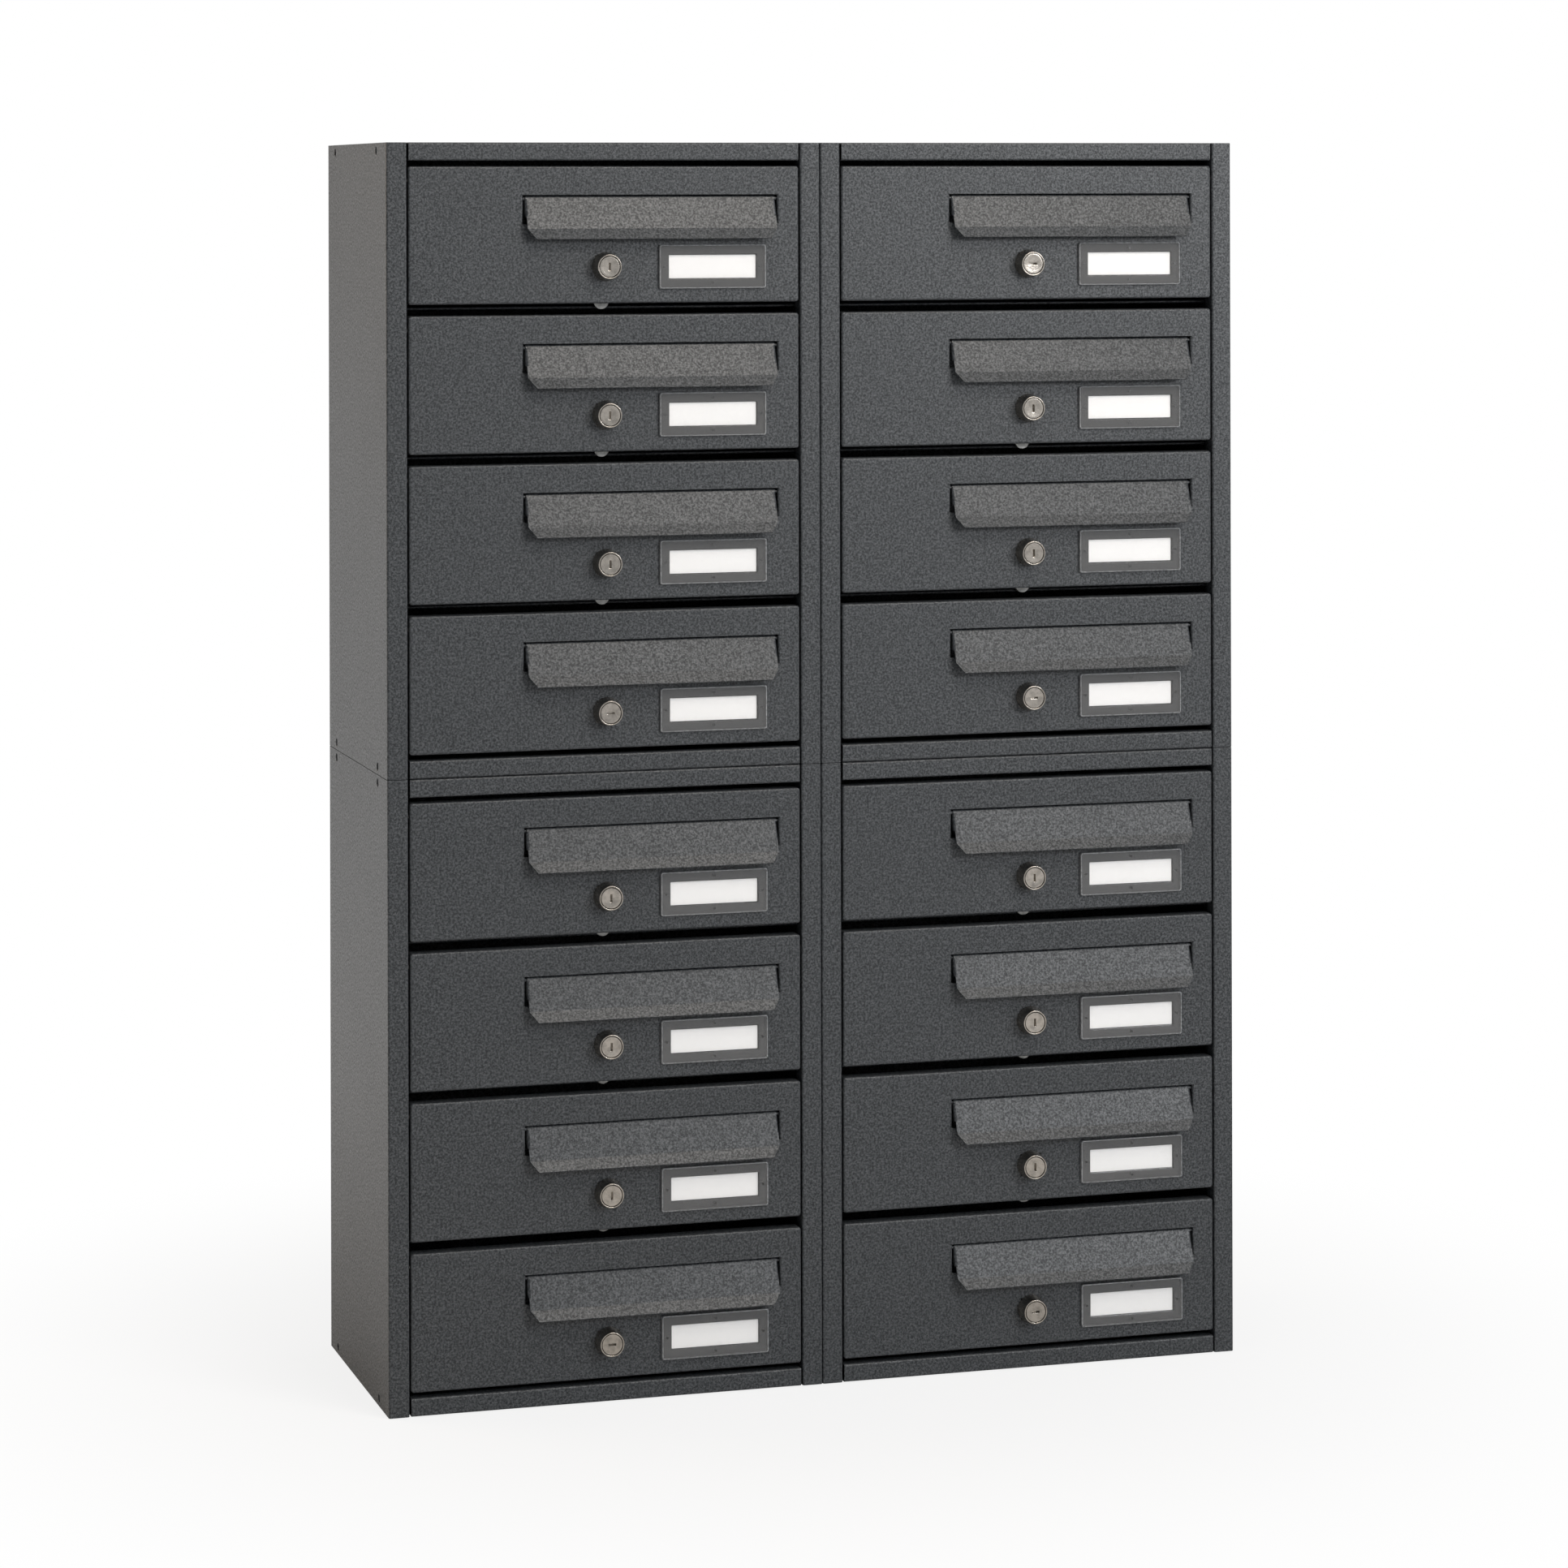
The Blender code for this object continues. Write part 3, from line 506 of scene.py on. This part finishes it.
def finished(name, shape, sheet=0.0, outside=None, offset=-1.0, edge=0.0, sharp=40):
    """A mesh in metres: doubles merged, faces turned out, a sheet given its wall, cut edges eased by edge,
    smooth shading broken at sharp degrees. outside is the way that an open sheet's faces look on the whole."""
    points, faces = shape
    mesh = bpy.data.meshes.new(name)
    mesh.from_pydata((points * 0.001).tolist(), [], faces.tolist())
    work = bmesh.new()
    work.from_mesh(mesh)
    bmesh.ops.remove_doubles(work, verts=work.verts, dist=2e-6)
    bmesh.ops.dissolve_degenerate(work, dist=1e-7, edges=work.edges)
    bmesh.ops.recalc_face_normals(work, faces=work.faces)
    if outside is not None:
        looks = sum((f.normal * f.calc_area() for f in work.faces), Vector())
        if looks.dot(Vector(outside)) < 0:
            bmesh.ops.reverse_faces(work, faces=work.faces)
    work.to_mesh(mesh)
    work.free()
    steps = []
    if sheet:
        steps.append(("SOLIDIFY", {"thickness": sheet * 0.001, "offset": offset, "use_even_offset": True}))
    if edge:
        steps.append(("BEVEL", {"width": edge * 0.001, "segments": 2, "limit_method": "ANGLE",
                                "angle_limit": math.radians(55), "use_clamp_overlap": False}))
    if steps:
        mesh = with_modifiers(mesh, *steps)
    mesh.shade_smooth()
    mesh.set_sharp_from_angle(angle=math.radians(sharp))
    mesh = with_modifiers(mesh, ("WEIGHTED_NORMAL", {"keep_sharp": True, "weight": 50}))
    mesh.name = name
    return mesh


def place(name, mesh, body, finish, at=(0, 0, 0), stands_for=(), turn=None):
    """A copy of a mesh set down at a place in the unit, riding on a body in a finish."""
    own = mesh.copy()
    own.transform(Matrix.Translation(at) @ (turn or Matrix.Identity(4)))
    made = bpy.data.objects.new(name, own)
    own.name = name
    bpy.context.scene.collection.objects.link(made)
    own.materials.clear()
    own.materials.append(finish.material)
    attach(made, body)
    if stands_for:
        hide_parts(*stands_for)
    return made


# --- Finishes ---------------------------------------------------------------------------------------------


class Value:
    """A socket in a finish that arithmetic can be written with. Each operator adds one Math node."""

    def __init__(self, finish, socket):
        self.finish = finish
        self.socket = socket

    def math(self, operation, *others):
        inputs = dict(enumerate((self,) + others))
        return self.finish.node("ShaderNodeMath", {"operation": operation}, inputs)

    def __add__(self, other):
        return self.math("ADD", other)

    def __mul__(self, other):
        return self.math("MULTIPLY", other)

    def __sub__(self, other):
        return self.math("SUBTRACT", other)

    def __rsub__(self, other):
        return self.finish.node("ShaderNodeMath", {"operation": "SUBTRACT"}, {0: other, 1: self})

    __radd__ = __add__
    __rmul__ = __mul__


class Finish:
    """A material or the world, the record's slot that it belongs to, and the one way in which its nodes
    are made."""

    def __init__(self, name, slot=None, kind=bpy.data.materials):
        self.material = kind.new(name)
        self.material.use_nodes = True
        self.slot = slot
        self.tree = self.material.node_tree
        self.tree.nodes.clear()

    def node(self, kind, settings=None, inputs=None, output=0):
        """A node of a type, its settings, and the values or links of its sockets. stops are a ramp's."""
        made = self.tree.nodes.new(kind)
        for setting, value in (settings or {}).items():
            if setting == "stops":
                ramp = made.color_ramp
                while len(ramp.elements) < len(value):
                    ramp.elements.new(0.5)
                for element, (position, colour) in zip(ramp.elements, value):
                    element.position = position
                    element.color = colour
            else:
                setattr(made, setting, value)
        for socket, value in (inputs or {}).items():
            if isinstance(value, Value):
                self.tree.links.new(value.socket, made.inputs[socket])
            else:
                made.inputs[socket].default_value = value
        return Value(self, made.outputs[output]) if made.outputs else None

    def coordinates(self, scale=(1, 1, 1)):
        """Object coordinates, scaled."""
        at = self.node("ShaderNodeTexCoord", output=3)
        return self.node("ShaderNodeMapping", {}, {"Vector": at, "Scale": scale})

    def noise(self, scale, detail=2.0, roughness=0.5, vector=None):
        """Noise with features about 1 / scale metres wide."""
        return self.node("ShaderNodeTexNoise", {}, {"Vector": vector or self.coordinates(), "Scale": scale,
                                                    "Detail": detail, "Roughness": roughness})

    def grade(self, value, *stops):
        """A ramp from (position, grey or colour) stops."""
        full = [(p, (c, c, c, 1.0) if isinstance(c, float) else (*c, 1.0)) for p, c in stops]
        return self.node("ShaderNodeValToRGB", {"stops": full}, {0: value})

    def mix(self, factor, first, second):
        """A colour between two by factor."""
        return self.node("ShaderNodeMix", {"data_type": "RGBA"}, {0: factor, 6: first, 7: second}, output=2)

    def bump(self, height, distance, strength=1.0):
        """Normals of a relief whose height counts distance metres."""
        return self.node("ShaderNodeBump", {}, {"Height": height, "Distance": distance,
                                                "Strength": strength})

    def shade(self, **inputs):
        """The Principled shader and the output. Socket names are written with _ for a space."""
        named = {key.replace("_", " "): value for key, value in inputs.items()}
        shader = self.node("ShaderNodeBsdfPrincipled", {}, named)
        self.node("ShaderNodeOutputMaterial", {}, {"Surface": shader})
        return self


def colour(red, green, blue):
    """An opaque colour from linear values."""
    return (red, green, blue, 1.0)


def powder_coat():
    """Fine-textured anthracite powder coat: grains a millimetre and a half wide in relief and in tone, a
    slight cloudiness over the sheet, and a clear gloss that is fullest on the grains' crowns."""
    coat = Finish("powder_coat", "powder_coat")
    grain = coat.noise(640.0, 2.0, 0.6)
    fleck = coat.noise(2200.0, 0.0)
    cloud = coat.noise(9.0, 3.0)
    tone = coat.grade(grain * 0.7 + fleck * 0.3, (0.38, (0.016, 0.0185, 0.021)),
                      (0.50, (0.034, 0.038, 0.042)), (0.62, (0.070, 0.076, 0.083)))
    dull = coat.mix(coat.grade(cloud, (0.35, 0.0), (0.75, 0.2)), tone, colour(0.034, 0.038, 0.042))
    rough = 0.48 - grain * 0.12 + cloud * 0.06
    crowns = coat.grade(grain * 0.7 + fleck * 0.3, (0.38, 0.1), (0.62, 0.9))
    relief = coat.bump(grain + fleck * 0.5, 0.0002, 0.75)
    return coat.shade(Base_Color=dull, Roughness=rough, Specular_IOR_Level=0.25, Coat_Weight=crowns,
                      Coat_Roughness=0.42, Normal=relief)


def nickel(name, base, roughness, scratches):
    """Nickel plate: fine turning marks and faint smears in its gloss."""
    plate = Finish(name, "nickel")
    smear = plate.noise(230.0, 3.0, 0.6)
    fine = plate.noise(1.0, 2.0, 0.5, plate.coordinates((3500, 200, 3500)))
    tint = plate.mix(plate.grade(smear, (0.42, 0.0), (0.66, 0.55)), colour(*base),
                     colour(*(c * 0.45 for c in base)))
    return plate.shade(Base_Color=tint, Metallic=1.0, Roughness=roughness + smear * 0.08 + fine * 0.04,
                       Normal=plate.bump(fine, 0.00002, scratches))


def clear_plastic():
    """Clear moulded plastic: smooth, with faint moulding waves."""
    clear = Finish("clear_plastic", "clear_cover")
    wave = clear.noise(420.0, 1.0)
    return clear.shade(Base_Color=colour(0.16, 0.162, 0.164), Roughness=0.15, IOR=1.49, Alpha=0.55,
                       Normal=clear.bump(wave, 0.00003, 0.3))


def edge_painted_highlight():
    """The cover's outer edge: the same plastic with a painted highlight, a base colour lighter than the
    cover's that stands for the light leaving the plastic there.
    """
    edge = Finish("edge_painted_highlight", "clear_cover")
    nick = edge.noise(700.0, 2.0, 0.6)
    # Painted highlight: the edge's tone is set lighter than the cover's and varied by the noise
    tone = edge.grade(nick, (0.35, (0.14, 0.145, 0.15)), (0.65, (0.36, 0.37, 0.38)))
    return edge.shade(Base_Color=tone, Roughness=0.35, IOR=1.49, Normal=edge.bump(nick, 0.00004, 0.5))


def thin_pane():
    """The thin window over the card: almost clear, with a little gloss."""
    pane = Finish("thin_pane", "clear_cover")
    dust = pane.noise(300.0, 2.0)
    return pane.shade(Base_Color=colour(0.95, 0.96, 0.96), Roughness=0.08, IOR=1.49,
                      Alpha=pane.grade(dust, (0.3, 0.03), (0.8, 0.045)))


def card_paper():
    """Bright white card with a soft tooth."""
    card = Finish("card_paper", "card")
    tooth = card.noise(3000.0, 2.0)
    tone = card.grade(tooth, (0.3, (0.90, 0.90, 0.90)), (0.7, (0.95, 0.95, 0.95)))
    return card.shade(Base_Color=tone, Roughness=0.85, Normal=card.bump(tooth, 0.00004, 0.5))


# --- The unit ---------------------------------------------------------------------------------------------


def build_unit():
    """Every piece of the four modules and their sixteen doors."""
    coat = powder_coat()
    bright = nickel("nickel_plate", (0.45, 0.415, 0.37), 0.17, 0.5)
    zinc = nickel("zinc_plate", (0.34, 0.34, 0.33), 0.32, 0.8)
    steel = nickel("bare_steel", (0.50, 0.49, 0.47), 0.26, 0.6)
    # Painted shade: near-black pegs stand for the shade inside the cover's four small holes
    dark = nickel("peg_painted_hole_shade", (0.10, 0.10, 0.10), 0.4, 0.4)
    clear, edge, pane, paper = clear_plastic(), edge_painted_highlight(), thin_pane(), card_paper()

    casing = finished("casing", casing_sheet(), sheet=SHEET, outside=(0, 1, 0), edge=0.25)
    shelf = finished("shelf", shelf_sheet(), sheet=SHELF_SHEET, outside=(0, 0, 1), edge=0.2)
    top, bottom = (finished(name, panel_sheet(rail), sheet=SHEET, outside=(0, 0, -1), edge=0.25)
                   for name, rail in (("top_panel", TOP_RAIL), ("bottom_panel", BOTTOM_RAIL)))
    pan = finished("door_pan", door_pan(), sheet=SHEET, outside=(0, -1, 0), edge=0.25)
    flap = finished("flap", flap_sheet(), sheet=FLAP_SHEET, offset=0.0, outside=(0, -1, 0), edge=0.2)
    head = finished("lock_head", lock_head())
    barrel = finished("lock_barrel", lock_barrel(), sharp=35)
    nut = finished("lock_nut", lock_nut(), sharp=25)
    plug = finished("plug", plug_body())
    cam = finished("cam", cam_plate())
    screw = finished("cam_screw", cam_screw(), sharp=50)
    cover = finished("plate_cover", plate_cover(), sharp=25)
    rim = finished("plate_rim", plate_rim(), sharp=50)
    window = finished("plate_window", stacked([(32.5, 8.4, 0.5, -1.35), (32.5, 8.4, 0.5, -0.95)]))
    card = finished("name_card", stacked([(32.4, 8.3, 0.4, -0.6), (32.4, 8.3, 0.4, -0.1)]))
    # Pegs filling the cover's four small holes; their near-black finish is painted shade for the holes
    peg = stacked([(0.9, 0.9, 0.9, -2.66), (0.9, 0.9, 0.9, -0.1)])
    pegs = finished("plate_pegs", join(*[moved(peg, at) for at in
                                         ((0, 0, 11.7), (0, 0, -11.7), (35.8, 0, 0), (-35.8, 0, 0))]))
    end = [(1.5, 1.5, 1.5, 142.3), (1.5, 1.5, 1.5, 146.8), (1.1, 1.1, 1.1, 147.2)]
    pin = along_x(stacked(end))
    hinge_pins = finished("hinge_pins", join(pin, (pin[0] * (-1, 1, 1), pin[1])))
    flap_pin = finished("flap_pin", along_x(stacked([(0.9, 0.9, 0.9, -96.5), (1.2, 1.2, 1.2, -96.2),
                                                     (1.2, 1.2, 1.2, 96.2), (0.9, 0.9, 0.9, 96.5)])))

    axis = {joint["child"]: Vector(joint["pos_m"]) for joint in frame["joints"]}
    unlocked = {joint["child"] for joint in frame["joints"] if joint["range_deg"][0] < 0}
    over, quarter = Matrix.Rotation(math.pi, 4, "Y"), Matrix.Rotation(-math.pi / 2, 4, "Y")
    for where in ("upper_left", "upper_right", "lower_left", "lower_right"):
        low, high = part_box(f"casing_{where}")
        at = Vector(((low.x + high.x) / 2, 0, low.z))
        place(f"casing_{where}", casing, "root", coat, at, [f"casing_{where}"])
        place(f"bottom_panel_{where}", bottom, "root", coat, at, [f"bottom_panel_{where}"])
        place(f"top_panel_{where}", top, "root", coat, Vector((at.x, 0, high.z)),
              [f"top_panel_{where}"], over)
        for row in (1, 2, 3):
            rise = (row_top(row - 1) - DOOR_HEIGHT - 2.1) * 0.001
            place(f"shelf_{where}_{row}", shelf, "root", coat, at + Vector((0, 0, rise)),
                  [f"casing_{where}"])
        for row in BOXES:
            tag = f"{where}_{row}"
            door, flap_ride, plug_ride = f"door_{tag}", f"slot_flap_{tag}", f"lock_plug_{tag}"
            hinge, pivot, lock = axis[door], axis[flap_ride], axis[plug_ride]
            plate = hinge + Vector(PLATE) * 0.001
            for name, mesh, finish, spot in (
                    ("door_pan", pan, coat, hinge), ("hinge_pins", hinge_pins, steel, hinge),
                    ("lock_head", head, bright, lock), ("lock_barrel", barrel, zinc, lock),
                    ("lock_nut", nut, zinc, lock), ("plate_cover", cover, clear, plate),
                    ("plate_rim", rim, edge, plate), ("plate_window", window, pane, plate),
                    ("name_card", card, paper, plate), ("plate_pegs", pegs, dark, plate)):
                place(f"{name}_{tag}", mesh, door, finish, spot, [door])
            place(f"flap_{tag}", flap, flap_ride, coat, pivot, [flap_ride])
            place(f"flap_pin_{tag}", flap_pin, flap_ride, coat, pivot, [flap_ride])
            turn = quarter if plug_ride in unlocked else None
            for name, mesh, finish in (("plug", plug, bright), ("cam", cam, zinc),
                                       ("cam_screw", screw, zinc)):
                place(f"{name}_{tag}", mesh, plug_ride, finish, lock, [plug_ride], turn)


# --- The studio -------------------------------------------------------------------------------------------


def light_paths(finish):
    """1 for what the camera sees straight, in gloss and through glass, each by itself."""
    return [finish.node("ShaderNodeLightPath", output=name)
            for name in ("Is Camera Ray", "Is Glossy Ray", "Is Transmission Ray")]


def build_floor():
    """A round pale floor that takes the unit's shadow and fades to the white of the background where it is
    seen straight. In gloss it turns light grey beyond the part that the lamps light in front."""
    t = np.arange(96) * math.tau / 96
    reach = np.array([0.0, 0.6, 1.2, 2.5, 6.0, 20.0])[:, None]
    points = np.stack(np.broadcast_arrays(reach * np.cos(t), reach * np.sin(t), 0 * reach - 0.0005), axis=-1)
    shape = grid(points * 1000, round_columns=True)
    floor = bpy.data.objects.new("floor", finished("floor", shape, outside=(0, 0, 1)))
    bpy.context.scene.collection.objects.link(floor)
    paint = Finish("floor_paint")
    at = paint.node("ShaderNodeTexCoord", output=3)

    def fade(centre, start, end, least):
        """From least to 1 between two distances from a centre."""
        far = paint.node("ShaderNodeVectorMath", {"operation": "DISTANCE"}, {0: at, 1: centre}, output=1)
        return paint.node("ShaderNodeMapRange", {"interpolation_type": "SMOOTHSTEP"},
                          {0: far, 1: start, 2: end, 3: least, 4: 1.0})

    near, wide = fade((0, 0, 0), 0.2, 0.8, 0.8), fade((0, -2, 0), 1.8, 3.4, 0.0)
    camera, gloss, glass = light_paths(paint)
    pale = paint.node("ShaderNodeBsdfDiffuse", {}, {"Color": colour(0.80, 0.80, 0.80)})
    white = paint.node("ShaderNodeEmission", {}, {"Color": colour(1, 1, 1), "Strength": 1.0})
    seen = (near * camera.math("MAXIMUM", glass)).math("MAXIMUM", wide * gloss * 0.6)
    mixed = paint.node("ShaderNodeMixShader", {}, {0: seen, 1: pale, 2: white})
    paint.node("ShaderNodeOutputMaterial", {}, {"Surface": mixed})
    floor.data.materials.append(paint.material)


def build_world():
    """White seen straight and through glass, a soft grey as light, and in gloss a little lighter towards
    the backdrop than towards the front."""
    sky = Finish("studio", kind=bpy.data.worlds)
    bpy.context.scene.world = sky.material
    light = sky.node("ShaderNodeBackground", {}, {"Color": colour(0.96, 0.98, 1.0), "Strength": 0.38})
    white = sky.node("ShaderNodeBackground", {}, {"Color": colour(1, 1, 1), "Strength": 1.0})
    camera, gloss, glass = light_paths(sky)
    way = sky.node("ShaderNodeSeparateXYZ", {}, {0: sky.node("ShaderNodeTexCoord", output=0)}, output=1)
    behind = sky.node("ShaderNodeMapRange", {"interpolation_type": "SMOOTHSTEP"},
                      {0: way, 1: -0.35, 2: 0.15, 3: 0.0, 4: 1.0})
    seen = camera.math("MAXIMUM", glass).math("MAXIMUM", gloss * behind * 0.3)
    mixed = sky.node("ShaderNodeMixShader", {}, {0: seen, 1: light, 2: white})
    sky.node("ShaderNodeOutputWorld", {}, {"Surface": mixed})


def lamp(name, at, aim, size, power, tint):
    """A soft square lamp at a place, aimed at a point."""
    light = bpy.data.lights.new(name, "AREA")
    light.shape = "RECTANGLE"
    light.size, light.size_y = size
    light.energy = power
    light.color = tint
    made = bpy.data.objects.new(name, light)
    made.location = at
    made.rotation_euler = (Vector(aim) - Vector(at)).to_track_quat("-Z", "Y").to_euler()
    bpy.context.scene.collection.objects.link(made)


def build_camera():
    """The camera: in front, to the left, level and a little below the unit's top, its frame shifted down so
    that uprights stay upright."""
    camera = bpy.data.cameras.new("camera")
    camera.lens = 104.152
    camera.sensor_width = 36.0
    camera.shift_y = -0.37595
    made = bpy.data.objects.new("camera", camera)
    made.location = (-0.9660, -3.2471, 0.8628)
    made.rotation_euler = (math.pi / 2, math.radians(0.142), math.radians(-16.618))
    bpy.context.scene.collection.objects.link(made)
    bpy.context.scene.camera = made


build_unit()
build_floor()
build_world()
lamp("high_front", (0.40, -1.40, 2.05), (0, -0.1, 0.5), (1.0, 0.8), 20.0, (1.0, 0.93, 0.85))
lamp("right_front", (1.7, -2.9, 1.45), (0, -0.1, 0.4), (1.2, 0.6), 38.0, (0.97, 0.98, 1.0))
lamp("left_back", (-1.9, 1.0, 1.3), (-0.3, 0, 0.5), (1.2, 1.2), 13.0, (1.0, 0.76, 0.52))
build_camera()
bpy.context.scene.view_settings.view_transform = "Standard"
